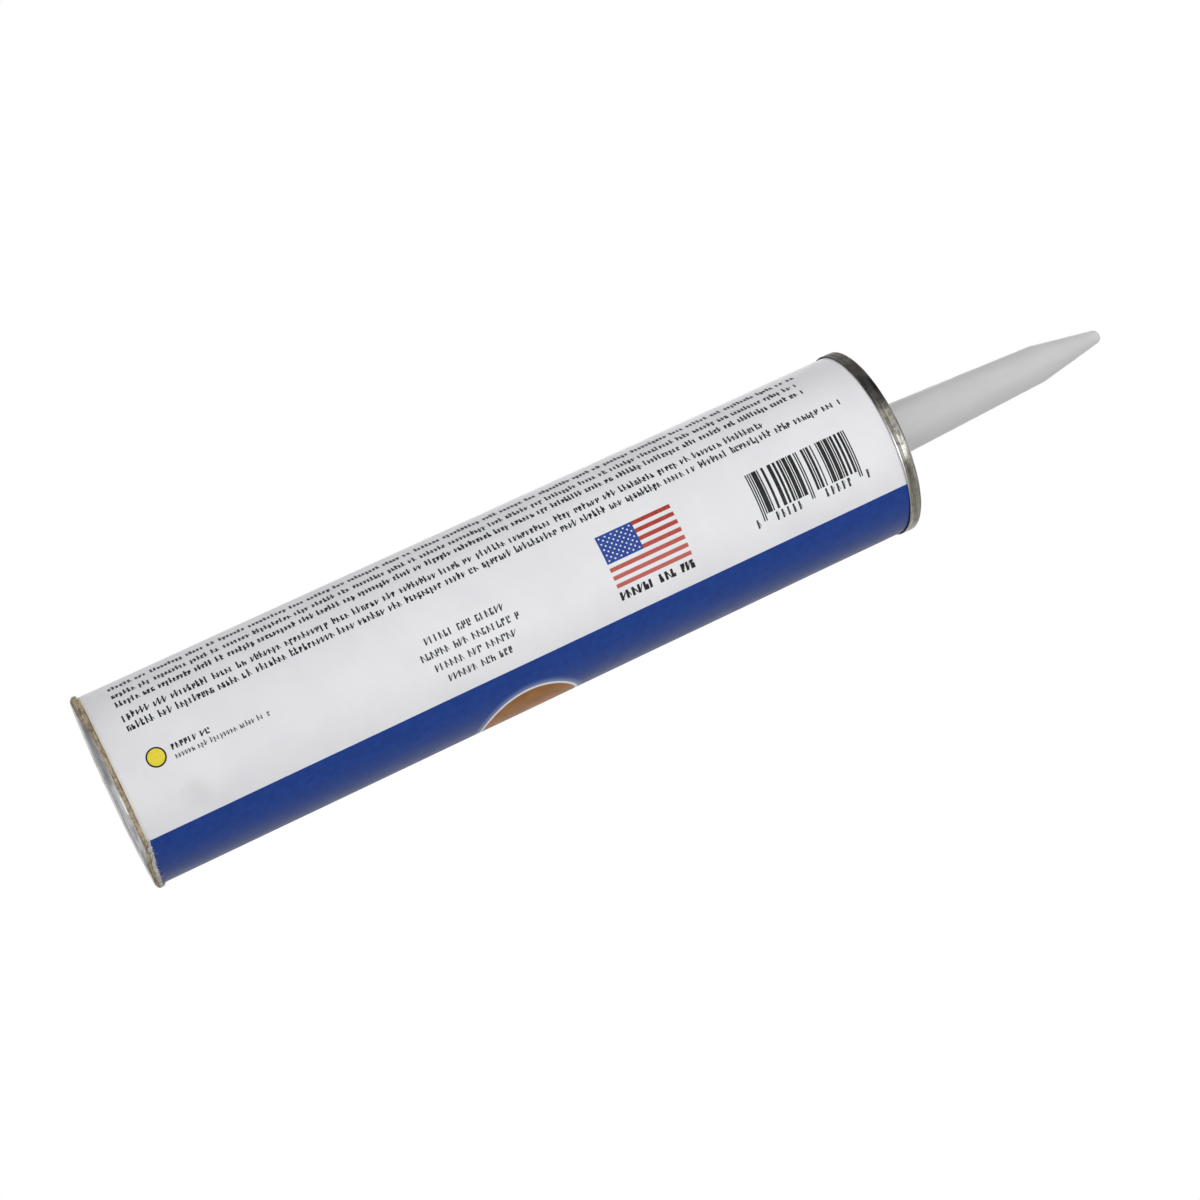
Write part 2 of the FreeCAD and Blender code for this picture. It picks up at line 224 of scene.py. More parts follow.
def turned(name, corners, steps=192, fineness=6, longest=None):
    """A piece turned about the tube's axis: one point is drawn along its outline, then spun.

    An outline that starts on the axis also ends there, and is left open.
    """
    closed = corners[0][0] > 0
    points = rounded(corners, fineness)
    path = points + points[:1] if closed else points
    if longest:
        path = stepped(path, longest)
    obj = begun(bpy.ops.mesh.primitive_plane_add, size=MM)
    bpy.ops.object.mode_set(mode="EDIT")
    bpy.ops.mesh.merge(type="CENTER")
    bpy.ops.transform.translate(value=(points[0].x * MM, 0, points[0].y * MM))
    for here, after in zip(path, path[1:]):
        step = (after - here) * MM
        bpy.ops.mesh.extrude_region_move(TRANSFORM_OT_translate={"value": (step.x, 0, step.y)})
    bpy.ops.mesh.select_all(action="SELECT")
    bpy.ops.mesh.spin(steps=steps, angle=2 * math.pi, center=(0, 0, 0), axis=(0, 0, 1))
    bpy.ops.mesh.select_all(action="SELECT")
    bpy.ops.mesh.remove_doubles(threshold=0.001 * MM)
    turned_out()
    return smooth(settled(obj, name))


def at(angle, radius, height):
    """The point at an angle, radius and height."""
    turn = math.radians(angle)
    return Vector((radius * math.sin(turn), -radius * math.cos(turn), height))


def around(angle):
    """Length round the label from the middle of its white side."""
    return LABEL_RADIUS * math.radians(angle)


def reshaped(obj, rule):
    """Moves each point of a piece by a rule on its angle, radius and height."""
    for vertex in obj.data.vertices:
        x, y, z = vertex.co / MM
        vertex.co = at(*rule(math.degrees(math.atan2(x, -y)), math.hypot(x, y), z)) * MM
    obj.data.update()
    return obj


def eased(value, low, high):
    """A soft step from nought to one."""
    share = min(1, max(0, (value - low) / (high - low)))
    return share * share * (3 - 2 * share)


def ragged(along, length, seed):
    """Noise along the way round the label, with waves of about the length."""
    return noise.noise(Vector((along / length, seed, 0)))


def ring_noise(angle, length, level):
    """Noise round the tube that meets itself, with waves of about the length."""
    turn = math.radians(angle)
    ring = Vector((math.sin(turn), math.cos(turn), 0)) * LABEL_RADIUS
    return noise.noise(Vector((ring.x / length, ring.y / length, level)))


def bead_radius(height):
    """Outside of the rolled rim's round bead, and of the label ahead of it."""
    off = (height - BEAD_HEIGHT) / BEAD_ROUND
    if abs(off) >= 1:
        return LABEL_RADIUS
    return max(LABEL_RADIUS, BEAD_RADIUS - BEAD_ROUND + BEAD_ROUND * math.sqrt(1 - off * off))


def rim_lift(angle, height):
    """How far the rear of the rim stands off the floor: it is rolled a little unevenly."""
    return max(0, 1 - height / ROLL_HEIGHT) * ROLL_LIFT * math.sin(math.radians(angle)) ** 2


def foil_reach(angle):
    """How far the foil comes round the bead, as a share: the board shows beyond it."""
    if abs(angle) >= 120:
        return 0.15 + 0.6 * eased(abs(angle), 120, 165)
    return 1 - 0.80 * eased(-angle, 30, 64) * eased(-angle, -20, 20) - 0.85 * eased(angle, 34, 56)


def torn_away(angle):
    """One where the print is torn off beside the rim, nought elsewhere."""
    return eased(angle, 30, 40) * (1 - eased(angle, 108, 122))


def torn_edge(angle):
    """Height of the upper edge of the torn strip."""
    return 3.15 - 0.80 * eased(angle, 33, 62)


def paper_waves(angle, height):
    """How far the label stands off its true radius, in soft waves and one slanting crease."""
    along = around(angle)
    wave = 0.055 * noise.noise(Vector((along / 15, height / 24, 3.1)))
    across = (height - 117 - 0.55 * along) / 5.0
    wave += 0.070 * math.exp(-across * across) * math.exp(-((along + 2) / 14) ** 2)
    return wave * min(1, max(0, (height - 3) / 12), max(0, (LABEL_END - height) / 6))


def wrapped(obj):
    """Curls flat print round the tube: its width goes round, its depth stands off the paper."""
    for vertex in obj.data.vertices:
        along, depth, height = vertex.co / MM
        angle = math.degrees(along / LABEL_RADIUS)
        vertex.co = at(angle, LABEL_RADIUS - depth + paper_waves(angle, height), height) * MM
    obj.data.update()
    return obj


def flat_sheet(columns, rows):
    """A flat unit sheet in cells, one wide and one high, that faces the viewer."""
    sheet = begun(bpy.ops.mesh.primitive_grid_add, x_subdivisions=columns, y_subdivisions=rows,
                  size=1, rotation=(math.pi / 2, 0, 0))
    return settled(sheet, "sheet")


def laid(sheet, rule):
    """Lays a unit sheet on the label, by a rule from (across, up) to (angle, rise, height)."""
    for vertex in sheet.data.vertices:
        angle, rise, height = rule(vertex.co.x + 0.5, vertex.co.z + 0.5)
        vertex.co = Vector((around(angle), -rise, height)) * MM
    return sheet


def flat_circle(sides, radius):
    """A flat circle that faces the viewer, in edit mode with all of it selected."""
    obj = begun(bpy.ops.mesh.primitive_circle_add, vertices=sides, radius=radius,
                rotation=(math.pi / 2, 0, 0))
    bpy.ops.object.mode_set(mode="EDIT")
    return obj


def widened(share):
    """Extrudes the selected circle, and widens it about its middle."""
    bpy.ops.mesh.extrude_edges_move()
    bpy.ops.transform.resize(value=(share, share, share), center_override=(0, 0, 0))


def facing_viewer(obj, name):
    """Leaves edit mode, and turns the faces of a flat piece to the viewer."""
    turned_out()
    obj = settled(obj, name)
    if obj.data.polygons[0].normal.y > 0:
        obj.data.flip_normals()
    return obj


def flat_round(sides):
    """A flat round of unit width, in rings, that faces the viewer."""
    obj = flat_circle(sides, 0.5)
    for ring in range(sides // 3 - 1, 0, -1):
        widened(ring / (ring + 1))
    bpy.ops.mesh.fill()
    return facing_viewer(obj, "round")


def stamped(name, stencil, places):
    """One flat mesh with a copy of the stencil at each (along, height, width, length, lean)."""
    points = []
    faces = []
    corners = [vertex.co.copy() for vertex in stencil.data.vertices]
    polygons = [tuple(polygon.vertices) for polygon in stencil.data.polygons]
    for along, height, width, length, lean in places:
        first = len(points)
        for corner in corners:
            points.append(Vector((
                along + corner.x * width + corner.z * lean, 0, height + corner.z * length)) * MM)
        faces.extend(tuple(first + index for index in polygon) for polygon in polygons)
    bpy.data.objects.remove(stencil)
    return joined_mesh(name, points, faces)


def inked(obj, layer=INK):
    """Gives flat print the thickness of a film of ink, and curls it round the tube."""
    bottom, top = layer
    thickened(obj, top - bottom, 1)
    for vertex in obj.data.vertices:
        vertex.co.y -= bottom * MM
    return wrapped(obj)


def made_of(obj, look, body="tube", nodes=()):
    """Gives a piece its finish, lets it ride on its body, and hides the CAD nodes that it stands
    for.
    """
    finish, slot = look
    obj.data.materials.clear()
    obj.data.materials.append(finish)
    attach(obj, body)
    if nodes:
        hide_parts(*nodes)
    return obj


class Socket:
    """An output of a node, on which plain maths adds Math nodes."""

    def __init__(self, nodes, socket):
        self.nodes = nodes
        self.socket = socket

    def __add__(self, other):
        return self.nodes.maths("ADD", self, other)

    def __radd__(self, other):
        return self.nodes.maths("ADD", other, self)

    def __sub__(self, other):
        return self.nodes.maths("SUBTRACT", self, other)

    def __rsub__(self, other):
        return self.nodes.maths("SUBTRACT", other, self)

    def __mul__(self, other):
        return self.nodes.maths("MULTIPLY", self, other)

    def __rmul__(self, other):
        return self.nodes.maths("MULTIPLY", other, self)

    def __pow__(self, other):
        return self.nodes.maths("POWER", self, other)


class Nodes:
    """The nodes of one material or of the world, which are added as they are asked for."""

    def __init__(self, tree):
        self.tree = tree

    def node(self, kind, settings, inputs):
        made = self.tree.nodes.new("ShaderNode" + kind)
        for key, value in settings.items():
            setattr(made, key, value)
        for key, value in inputs.items():
            if isinstance(value, Socket):
                self.tree.links.new(value.socket, made.inputs[key])
            else:
                made.inputs[key].default_value = value
        return made

    def add(self, kind, settings, inputs, output=0):
        return Socket(self, self.node(kind, settings, inputs).outputs[output])

    def maths(self, operation, *values):
        return self.add("Math", {"operation": operation}, dict(enumerate(values)))

    def rays(self, *kinds):
        """For each kind of ray, a socket that is one for light of that kind."""
        path = self.node("LightPath", {}, {})
        return [Socket(self, path.outputs[kind]) for kind in kinds]


class Finish(Nodes):
    """One material. Its x, y, z and distances are in millimetres, and its angle in degrees."""

    def __init__(self, name, **fixed):
        self.material = bpy.data.materials.new(name)
        self.material.use_nodes = True
        super().__init__(self.material.node_tree)
        self.shader = self.tree.nodes["Principled BSDF"]
        for socket, value in fixed.items():
            self.shader.inputs[socket.replace("_", " ")].default_value = value
        self.place = self.add("TexCoord", {}, {}, "Object")
        self.point = self.add("VectorMath", {"operation": "SCALE"}, {
            "Vector": self.place, "Scale": 1 / MM})
        parts = self.node("SeparateXYZ", {}, {"Vector": self.point})
        self.x, self.y, self.z = (Socket(self, parts.outputs[axis]) for axis in "XYZ")

    def angle(self):
        """Angle round the tube from the -Y side."""
        return self.maths("ARCTAN2", self.x, self.y * -1) * math.degrees(1)

    def from_axis(self):
        return (self.x * self.x + self.y * self.y) ** 0.5

    def from_point(self, point):
        return self.add("VectorMath", {"operation": "DISTANCE"}, {0: self.point, 1: point}, "Value")

    def noise(self, scale, detail, stretch=1):
        """Noise over the piece, flattened along the tube where the stretch is over one."""
        place = self.place
        if stretch != 1:
            place = self.add("Mapping", {}, {"Vector": place, "Scale": (1, 1, stretch)})
        inputs = {"Vector": place, "Scale": scale, "Detail": detail, "Roughness": 0.55}
        return self.add("TexNoise", {"noise_dimensions": "3D"}, inputs, "Fac")

    def ramp(self, value, low, high, to_low=0.0, to_high=1.0):
        """A soft step from one value to another."""
        inputs = {"Value": value, "From Min": low, "From Max": high,
                  "To Min": to_low, "To Max": to_high}
        return self.add("MapRange", {"interpolation_type": "SMOOTHSTEP"}, inputs)

    def patches(self, scale, detail, low, high, stretch=1):
        """Soft-edged patches: nought where the noise is under low, one where it is over high."""
        return self.ramp(self.noise(scale, detail, stretch), low, high)

    def near(self, value, middle, width):
        """One at the middle, falling softly to nought at the width on both sides."""
        return self.ramp(self.maths("ABSOLUTE", value - middle), 0, width, 1, 0)

    def mix(self, factor, first, second):
        """A colour between two colours, which may be sockets."""
        made = self.node("Mix", {"data_type": "RGBA"}, {0: factor})
        for index, value in ((6, first), (7, second)):
            if isinstance(value, Socket):
                self.tree.links.new(value.socket, made.inputs[index])
            else:
                made.inputs[index].default_value = (*value, 1)
        return Socket(self, made.outputs[2])

    def bump(self, height, distance, strength, under=None):
        inputs = {"Height": height, "Distance": distance * MM, "Strength": strength}
        if under:
            inputs["Normal"] = under
        return self.add("Bump", {}, inputs, "Normal")

    def feed(self, **sockets):
        for name, value in sockets.items():
            self.tree.links.new(value.socket, self.shader.inputs[name.replace("_", " ")])
        return self.material


def on_paper(finish, base, rough):
    """A colour on the paper's own surface, with its soft mottling, crumple and fine grain."""
    under = finish.bump(finish.noise(48, 1), 0.9, 0.32)
    under = finish.bump(finish.noise(150, 2), 0.16, 0.35, under)
    normal = finish.bump(finish.noise(2600, 2), 0.012, 0.40, under)
    return finish.feed(Base_Color=base, Roughness=rough, Normal=normal)


def inked_paper(finish, base):
    return on_paper(finish, base, finish.noise(220, 2) * 0.12 + 0.36)


def printed(name, colour, faded):
    """Ink on the label: its colour with a little unevenness."""
    finish = Finish(name, Specular_IOR_Level=0.14)
    return inked_paper(finish, finish.mix(finish.patches(900, 3, 0.35, 0.75) * 0.8, colour, faded))


def label_paper():
    finish = Finish("label_paper_finish", Specular_IOR_Level=0.18)
    mottled = finish.patches(70, 4, 0.3, 0.7)
    base = finish.mix(mottled, (0.775, 0.775, 0.800), (0.815, 0.815, 0.830))
    # A faint smudge beside the rear rim
    away = finish.from_point(at(18.5, LABEL_RADIUS, 18.2))
    smudge = finish.ramp(away + finish.noise(300, 3) * 4, 2.5, 7.2, 1, 0)
    base = finish.mix(smudge * 0.22, base, (0.48, 0.49, 0.43))
    # Cream bare edge beside the rim
    edge = finish.ramp(finish.z + finish.noise(700, 3), 3.0, 4.2, 1, 0)
    base = finish.mix(edge * 0.55, base, (0.66, 0.60, 0.47))
    return on_paper(finish, base, finish.noise(180, 3) * 0.14 + 0.36)


def blue_ink():
    """Deep blue, with painted shade low on the band, and a glow round the emblem."""
    finish = Finish("blue_ink_finish", Specular_IOR_Level=0.14)
    angle = finish.angle()
    uneven = finish.patches(500, 4, 0.3, 0.75)
    base = finish.mix(uneven, (0.0085, 0.0410, 0.225), (0.0120, 0.0510, 0.262))
    # Painted shade: the ink is darker from about 50 to 85 degrees round, low on the band, where
    # less light falls
    low = finish.ramp(angle, 50, 85)
    base = finish.mix(low * 0.9, base, (0.0085, 0.0275, 0.122))
    # A pale glow round the emblem
    along = (angle - EMBLEM_ANGLE) * around(1)
    rise = finish.z - EMBLEM_HEIGHT
    rim = EMBLEM_RADIUS + EMBLEM_EDGE * 0.6
    glow = finish.ramp((along * along + rise * rise) ** 0.5, rim, rim + GLOW_WIDTH, 1, 0)
    base = finish.mix(glow * glow * 0.6, base, (0.36, 0.43, 0.60))
    # Scuffed near the rear rim
    scuff = finish.patches(2600, 4, 0.58, 0.70) * finish.ramp(finish.z, 2.8, 5.0, 1, 0)
    base = finish.mix(scuff * 0.5, base, (0.20, 0.24, 0.36))
    # Shaded under the front ring
    shade = finish.ramp(finish.z, 211.9, 212.4) * finish.ramp(angle, 40.1, 54.4)
    base = finish.mix(shade * 0.8, base, (0.004, 0.009, 0.030))
    return on_paper(finish, base, finish.noise(220, 3) * 0.12 + 0.34)


def red_ink():
    """Deeper in the flag's upper stripes than in its lower ones."""
    finish = Finish("red_ink_finish", Specular_IOR_Level=0.14)
    down = finish.ramp(finish.angle(), -16.4, 15.5)
    base = finish.mix(down, (0.370, 0.034, 0.024), (0.490, 0.110, 0.090))
    uneven = finish.patches(1200, 3, 0.4, 0.75)
    return inked_paper(finish, finish.mix(uneven * 0.25, base, (0.55, 0.17, 0.14)))


def emblem_ink():
    finish = Finish("amber_ink_finish", Specular_IOR_Level=0.14)
    shade = finish.patches(260, 4, 0.3, 0.75)
    return inked_paper(finish, finish.mix(shade, (0.265, 0.105, 0.018), (0.335, 0.145, 0.034)))


def raw_board():
    """Grey-brown fibre board with strands along the rim and flecks of several tones."""
    finish = Finish("board_finish", Specular_IOR_Level=0.2)
    coarse = finish.patches(900, 5, 0.32, 0.68)
    base = finish.mix(coarse, (0.210, 0.155, 0.092), (0.520, 0.420, 0.270))
    flecks = finish.patches(2600, 4, 0.35, 0.70)
    base = finish.mix(flecks * 0.55, base, (0.650, 0.565, 0.420))
    dark = finish.patches(420, 3, 0.58, 0.72)
    base = finish.mix(dark * 0.40, base, (0.130, 0.092, 0.060))
    lines = finish.patches(150, 5, 0.50, 0.60, stretch=9)
    base = finish.mix(lines * 0.50, base, (0.120, 0.090, 0.058))
    pale = finish.patches(190, 4, 0.55, 0.66, stretch=9)
    base = finish.mix(pale * 0.45, base, (0.620, 0.530, 0.400))
    under = finish.bump(coarse, 0.10, 0.7)
    under = finish.bump(lines * -1, 0.10, 0.6, under)
    normal = finish.bump(flecks, 0.05, 0.6, under)
    return finish.feed(Base_Color=base, Roughness=coarse * 0.12 + 0.82, Normal=normal)


def wrinkled_foil():
    """Dull foil, wrinkled, streaked and soiled where it is folded round the rim, with painted light
    on its lit side and on the far side of the rim.
    """
    finish = Finish("foil_finish", Metallic=1.0)
    angle = finish.angle()
    # Painted highlight: the foil is lighter from about -22 to 50 degrees round, where the key
    # lamp's light falls on the rim
    side = finish.ramp(angle, -22, 8) * finish.ramp(angle, 30, 50, 1, 0.35)
    base = finish.mix(side, (0.245, 0.250, 0.262), (0.500, 0.508, 0.525))
    # Painted light: the far side of the rim, seen through the bore, is painted lighter
    far = finish.ramp(finish.y, 0, 12)
    base = finish.mix(far, base, (0.600, 0.600, 0.610))
    streaks = finish.patches(170, 5, 0.44, 0.62, stretch=9)
    base = finish.mix(streaks * 0.60, base, (0.170, 0.170, 0.176))
    lights = finish.patches(260, 4, 0.54, 0.70, stretch=6)
    base = finish.mix(lights * 0.40, base, (0.520, 0.528, 0.540))
    inside = finish.ramp(finish.from_axis(), 23.8, 24.3, 1, 0)
    base = finish.mix(inside * 0.8, base, (0.700, 0.700, 0.705))
    soil = finish.patches(520, 4, 0.50, 0.66) * finish.ramp(finish.z, 0.4, 1.6)
    base = finish.mix(soil * 0.40, base, (0.230, 0.180, 0.125))
    # A small red-brown fleck on the far side of the rim
    fleck = finish.ramp(finish.from_point((-3.6, 24.4, 0.1)), 0.4, 1.0, 1, 0)
    base = finish.mix(fleck * 0.8, base, (0.150, 0.040, 0.025))
    under = finish.bump(finish.noise(300, 4, stretch=4), 0.12, 0.5)
    normal = finish.bump(finish.noise(1500, 3), 0.04, 0.4, under)
    return finish.feed(Base_Color=base, Roughness=streaks * 0.14 + 0.42, Normal=normal)


def tinplate():
    """Tinplate, tarnished in patches, with painted shade round one side of the ring and a painted
    highlight towards the key lamp, and streaked along it.
    """
    finish = Finish("tinplate_finish", Metallic=1.0)
    angle = finish.angle()
    # Painted highlight: the metal is lighter round 11 degrees, where the key lamp's reflection
    # falls
    lamp_highlight = finish.near(angle, 11, 24)
    base = finish.mix(lamp_highlight, (0.238, 0.226, 0.190), (0.300, 0.293, 0.275))
    # Painted shade darkens the ring from about -110 to -10 degrees round, on top of patchy tarnish,
    # and is near black in patches there
    side = finish.ramp(angle, -26, -4, 1, 0) * finish.ramp(angle, -175, -110)
    deep = finish.near(angle, -34, 27)
    cloud = side * 0.55 + deep * 0.30 + finish.noise(85, 5) * 0.65
    tarnish_and_shade = finish.ramp(cloud, 0.45, 0.95)
    base = finish.mix(tarnish_and_shade * 0.95, base, (0.045, 0.042, 0.036))
    deepest = deep * finish.patches(330, 5, 0.30, 0.52)
    base = finish.mix(deepest * 0.92, base, (0.010, 0.010, 0.012))
    streaks = finish.patches(130, 5, 0.44, 0.60, stretch=9)
    base = finish.mix(streaks * 0.55, base, (0.085, 0.078, 0.068))
    shine = finish.patches(190, 4, 0.54, 0.68, stretch=12) * (1 - tarnish_and_shade * 0.8)
    base = finish.mix(shine * 0.40, base, (0.520, 0.512, 0.490))
    brown = finish.patches(260, 4, 0.50, 0.70) * (1 - tarnish_and_shade * 0.6)
    base = finish.mix(brown * 0.30, base, (0.165, 0.128, 0.090))
    # Rubs and pits, which fade towards the cleaner low side
    kept = finish.ramp(angle, 18, 42, 0.50, 0.18)
    rubs = finish.patches(620, 5, 0.47, 0.60)
    base = finish.mix(rubs * kept, base, (0.048, 0.045, 0.042))
    pits = finish.patches(1400, 3, 0.58, 0.68)
    base = finish.mix(pits * kept, base, (0.050, 0.046, 0.042))
    # Painted shade: the darkest band, beside the lip on the shaded side
    lip_shade = finish.near(angle, -29, 13) * finish.ramp(finish.z, 213.8, 215.0)
    base = finish.mix(lip_shade * 0.85, base, (0.005, 0.005, 0.008))
    # A darker patch along the middle of the ring, and a painted highlight along the rear edge
    # behind it, on the side towards the key lamp
    level = finish.z + finish.noise(300, 4) * 0.6
    patch = finish.near(angle, 24, 13) * finish.near(level, 214.3, 0.9)
    base = finish.mix(patch * 0.80, base, (0.060, 0.055, 0.048))
    level = finish.z + finish.noise(220, 3) * 0.2
    rear_edge_highlight = finish.near(angle, 14, 34) * finish.ramp(level, 212.85, 213.05, 1, 0)
    base = finish.mix(rear_edge_highlight * 0.75, base, (0.600, 0.585, 0.550))
    # Cleaner metal inside the ring
    mottled = finish.patches(60, 5, 0.40, 0.75)
    clean = finish.mix(mottled, (0.400, 0.392, 0.370), (0.250, 0.243, 0.222))
    inner = finish.ramp(finish.from_axis(), 24.6, 25.2, 1, 0)
    base = finish.mix(inner * 0.88, base, clean)
    rough = tarnish_and_shade * 0.20 + streaks * 0.10 + rubs * 0.10 + 0.26
    normal = finish.bump(finish.noise(600, 4), 0.10, 0.7)
    return finish.feed(Base_Color=base, Roughness=rough, Normal=normal)


def milky_plastic():
    """Soft translucent plastic, with faint flow marks along the moulding."""
    finish = Finish("nozzle_finish", Specular_IOR_Level=0.22, Subsurface_Weight=0.45,
                    Subsurface_Radius=(0.005, 0.005, 0.0051), Subsurface_Scale=1.0)
    flow = finish.patches(160, 3, 0.3, 0.7, stretch=0.25)
    base = finish.mix(flow, (0.600, 0.598, 0.605), (0.632, 0.630, 0.637))
    specks = finish.patches(1800, 2, 0.70, 0.76)
    base = finish.mix(specks * 0.25, base, (0.50, 0.50, 0.49))
    rough = finish.noise(90, 2) * 0.10 + 0.36
    normal = finish.bump(finish.noise(340, 3), 0.02, 0.35)
    return finish.feed(Base_Color=base, Roughness=rough, Normal=normal)


def moulded_plastic():
    finish = Finish("plunger_finish", Specular_IOR_Level=0.4)
    mottled = finish.patches(130, 4, 0.3, 0.7)
    base = finish.mix(mottled, (0.62, 0.62, 0.59), (0.70, 0.70, 0.68))
    rough = finish.noise(500, 3) * 0.14 + 0.38
    normal = finish.bump(finish.noise(2200, 3), 0.015, 0.5)
    return finish.feed(Base_Color=base, Roughness=rough, Normal=normal)


def paste():
    finish = Finish("sealant_finish", Specular_IOR_Level=0.5)
    mottled = finish.patches(90, 4, 0.3, 0.7)
    base = finish.mix(mottled, (0.66, 0.66, 0.63), (0.73, 0.73, 0.71))
    rough = finish.noise(300, 3) * 0.2 + 0.30
    normal = finish.bump(finish.noise(120, 3), 0.4, 0.4)
    return finish.feed(Base_Color=base, Roughness=rough, Normal=normal)


def torn_fibre():
    """Whitish torn paper, grey where it is soiled."""
    finish = Finish("torn_paper_finish", Specular_IOR_Level=0.2)
    tone = finish.patches(1600, 4, 0.35, 0.70)
    base = finish.mix(tone, (0.46, 0.45, 0.41), (0.76, 0.76, 0.75))
    soil = finish.patches(520, 3, 0.50, 0.68)
    base = finish.mix(soil * 0.5, base, (0.36, 0.32, 0.26))
    normal = finish.bump(tone, 0.05, 0.6)
    return finish.feed(Base_Color=base, Roughness=tone * 0.1 + 0.84, Normal=normal)


# Each finish with its slot
PAPER = (label_paper(), "label_paper")
TORN = (torn_fibre(), "label_paper")
BLUE = (blue_ink(), "blue_ink")
DARK = (printed("dark_ink_finish", (0.009, 0.009, 0.010), (0.030, 0.030, 0.033)), "dark_ink")
GREY = (printed("grey_ink_finish", (0.030, 0.030, 0.034), (0.075, 0.075, 0.080)), "dark_ink")
RED = (red_ink(), "red_ink")
NAVY = (printed("navy_ink_finish", (0.024, 0.062, 0.290), (0.042, 0.090, 0.340)), "navy_ink")
WHITE = (printed("white_ink_finish", (0.80, 0.80, 0.81), (0.74, 0.74, 0.76)), "white_ink")
AMBER = (emblem_ink(), "amber_ink")
YELLOW = (printed("yellow_ink_finish", (0.80, 0.65, 0.045), (0.86, 0.74, 0.090)), "yellow_ink")
BOARD = (raw_board(), "board")
FOIL = (wrinkled_foil(), "foil")
TIN = (tinplate(), "tinplate")
MILKY = (milky_plastic(), "soft_plastic")
MOULDED = (moulded_plastic(), "plunger_plastic")
PASTE = (paste(), "sealant")


def label_sheet():
    """The printed sheet, wrapped once round with its end lapped over its start."""

    def place(across, up):
        angle = SHEET_FROM + across * (SHEET_TO - SHEET_FROM)
        height = LABEL_START + up * (LABEL_END - LABEL_START)
        rear = max(0.0, 1 - (height - LABEL_START) / 4)
        height += rear * (0.08 * ragged(around(angle), 3.5, 7.7) - 0.12)
        rise = FLAP_RISE * eased(angle, FLAP_FROM - FLAP_RISE_ANGLE, FLAP_FROM)
        return angle, rise, height

    sheet = wrapped(laid(flat_sheet(252, 108), place))
    thickened(sheet, SHEET_THICKNESS, -1)
    return made_of(smooth(settled(sheet, "label_sheet")), PAPER, nodes=("label",))


def blue_band():
    """The blue field, whose torn rear edge comes over the bead further round."""

    def place(across, up):
        angle = BAND_FROM + across * (BAND_TO - BAND_FROM)
        along = around(angle)
        torn = 0.24 * ragged(along, 0.9, 1.3) + 0.20 * ragged(along, 0.35, 4.9)
        torn += 0.15 * ragged(along, 5.0, 9.1)
        start = max(2.10, 3.20 - 0.95 * eased(angle, BAND_FROM, 62) + torn)
        height = start + (LABEL_END - 0.05 - start) * up ** 1.6
        return angle, bead_radius(height - 0.06) - LABEL_RADIUS, height

    band = inked(laid(flat_sheet(330, 70), place))
    return made_of(smooth(settled(band, "blue_band")), BLUE, nodes=("blue_panel",))


def node_plates(node):
    """The (start, end, top, foot) box of each loose plate of a printed CAD node."""
    source = bmesh.new()
    source.from_mesh(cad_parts[node].data)
    bmesh.ops.remove_doubles(source, verts=source.verts, dist=0.001 * MM)
    waiting = set(source.verts)
    boxes = []
    while waiting:
        found = [waiting.pop()]
        for vertex in found:
            for edge in vertex.link_edges:
                other = edge.other_vert(vertex)
                if other in waiting:
                    waiting.remove(other)
                    found.append(other)
        angles = [math.degrees(math.atan2(vertex.co.x, -vertex.co.y)) for vertex in found]
        heights = [vertex.co.z / MM for vertex in found]
        boxes.append((min(heights), max(heights), around(min(angles)), around(max(angles))))
    source.free()
    return sorted(boxes)


def written(box, stroke, pitch, tall, growth, draw):
    """Loose strokes and slanting dashes in a box: they stand for a word of print and say nothing.

    Each mark is (along, height, width, length, lean). A row runs along the tube, so the height of
    its letters goes round the label.
    """
    start, end, top, foot = box
    grown = (foot - top) * (growth - 1) / 2
    top, foot = top - grown, foot + grown
    small = foot - top
    flat = stroke * 0.85
    count = max(1, round((end - start) / pitch))
    step = (end - start) / count
    marks = []
    for index in range(count):
        place = start + step * index
        cell = step * draw.choice((0.66, 0.76, 0.84))
        rise = tall if draw.random() < 0.3 else 0.0
        drop = tall * 0.8 if rise == 0 and draw.random() < 0.12 else 0.0
        middle = (top - rise + foot + drop) / 2
        marks.append((middle, place + stroke / 2, small + rise + drop, stroke, 0))
        kind = draw.random()
        if kind < 0.55:
            slope = small * draw.choice((-0.85, -0.6, 0.6, 0.85))
            centre = place + cell / 2 + stroke / 2
            marks.append(((top + foot) / 2, centre, flat, cell - stroke / 2, slope))
        elif kind < 0.92:
            short = small * draw.choice((0.4, 0.6))
            middle = foot - short / 2 if draw.random() < 0.5 else top + short / 2
            marks.append((middle, place + cell - stroke / 2, short, stroke, 0))
            level = draw.choice((0.12, 0.5, 0.88))
            marks.append((top + small * level, place + cell * 0.6, flat, cell * 0.5, 0))
    return marks


def kind_of_print(start, angle):
    """A row's ink, and its stroke, pitch to the row's height, ascender and growth."""
    if angle < TOP_ROW_END:
        return DARK, 0.58, 0.96, 0.60, 1.44
    if angle < UPPER_ROWS_END:
        return DARK, 0.46, 0.96, 0.60, 1.44
    if angle < LOWER_ROWS_END:
        return DARK, 0.42, 0.94, 0.60, 1.32
    if start > FLAG_ROW_START:
        return DARK, 0.70, 0.94, 0.0, 1.44
    if start > BLOCK_START:
        return GREY, 0.40, 0.98, 0.0, 1.40
    if angle < SPOT_ROW_END:
        return DARK, 0.40, 0.96, 0.0, 1.30
    return GREY, 0.26, 0.98, 0.35, 1.28


